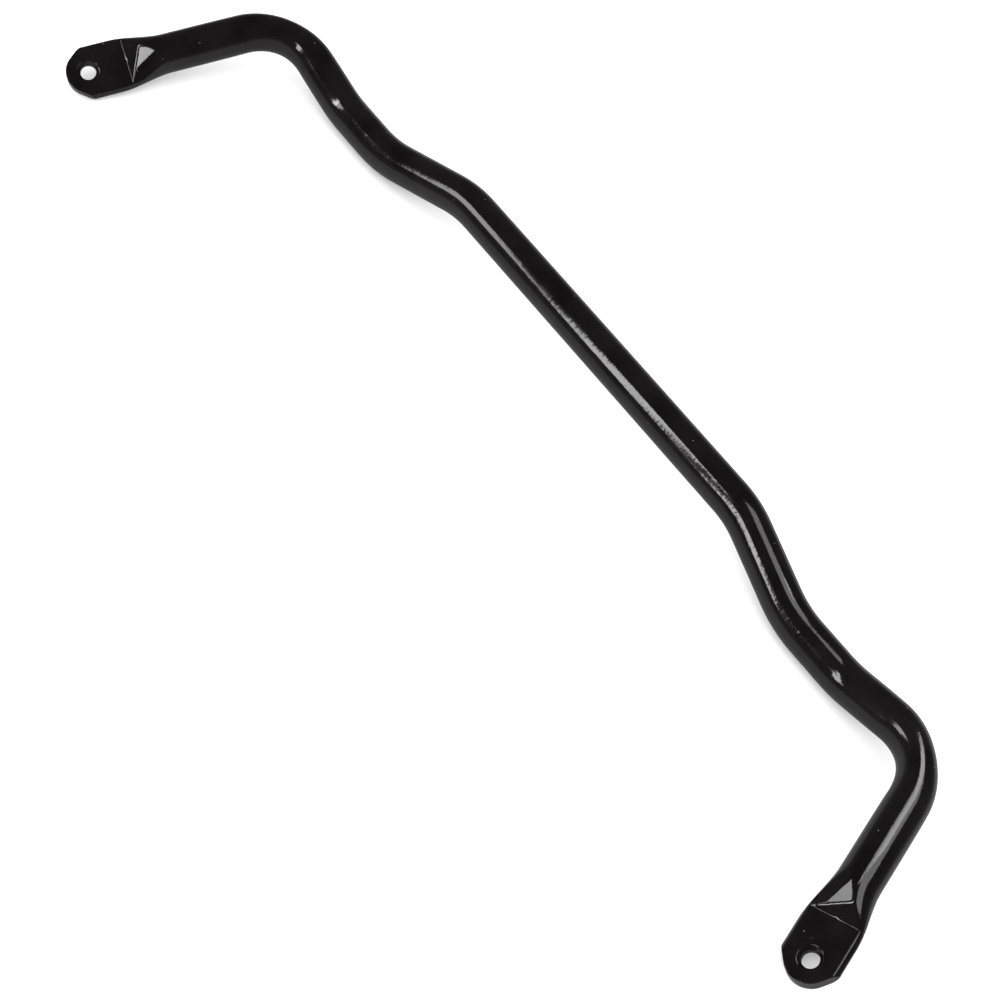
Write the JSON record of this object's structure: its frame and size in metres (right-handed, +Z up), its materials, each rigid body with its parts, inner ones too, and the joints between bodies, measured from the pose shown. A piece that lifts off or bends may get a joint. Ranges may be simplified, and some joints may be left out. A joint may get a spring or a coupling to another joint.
{
  "type": "sway bar",
  "caption": "Bent round spring-steel bar that couples left and right suspension in twist, with a flattened, drilled eye on each lever arm.",
  "frame": {"origin": "on the bench, below the middle of the bar's box, with the bar lying on the undersides of its bushing seats and the inner corners of its eyes", "axes": "+X along the straight center bar to the right, -Y towards the eyes, +Z up"},
  "size_m": [0.8438, 0.1904, 0.0459],
  "materials": {
    "bar_coating": "gloss black paint over forged steel, light orange peel"
  },
  "bodies": {
    "center_bar": {"center_bar": "bar_coating"},
    "left_arm": {"left_arm": "bar_coating", "left_eye": "bar_coating"},
    "right_arm": {"right_arm": "bar_coating", "right_eye": "bar_coating"}
  },
  "joints": [
    {"name": "left_arm_twist", "type": "hinge", "parent": "center_bar", "child": "left_arm", "pos_m": [-0.13, 0.08088, 0.03034], "axis": [-1, 0, 0], "range_deg": [-10, 10], "stiffness_Nm_per_rad": 14400},
    {"name": "right_arm_twist", "type": "hinge", "parent": "center_bar", "child": "right_arm", "pos_m": [0.13, 0.08088, 0.03034], "axis": [-1, 0, 0], "range_deg": [-10, 10], "stiffness_Nm_per_rad": 14400}
  ]
}
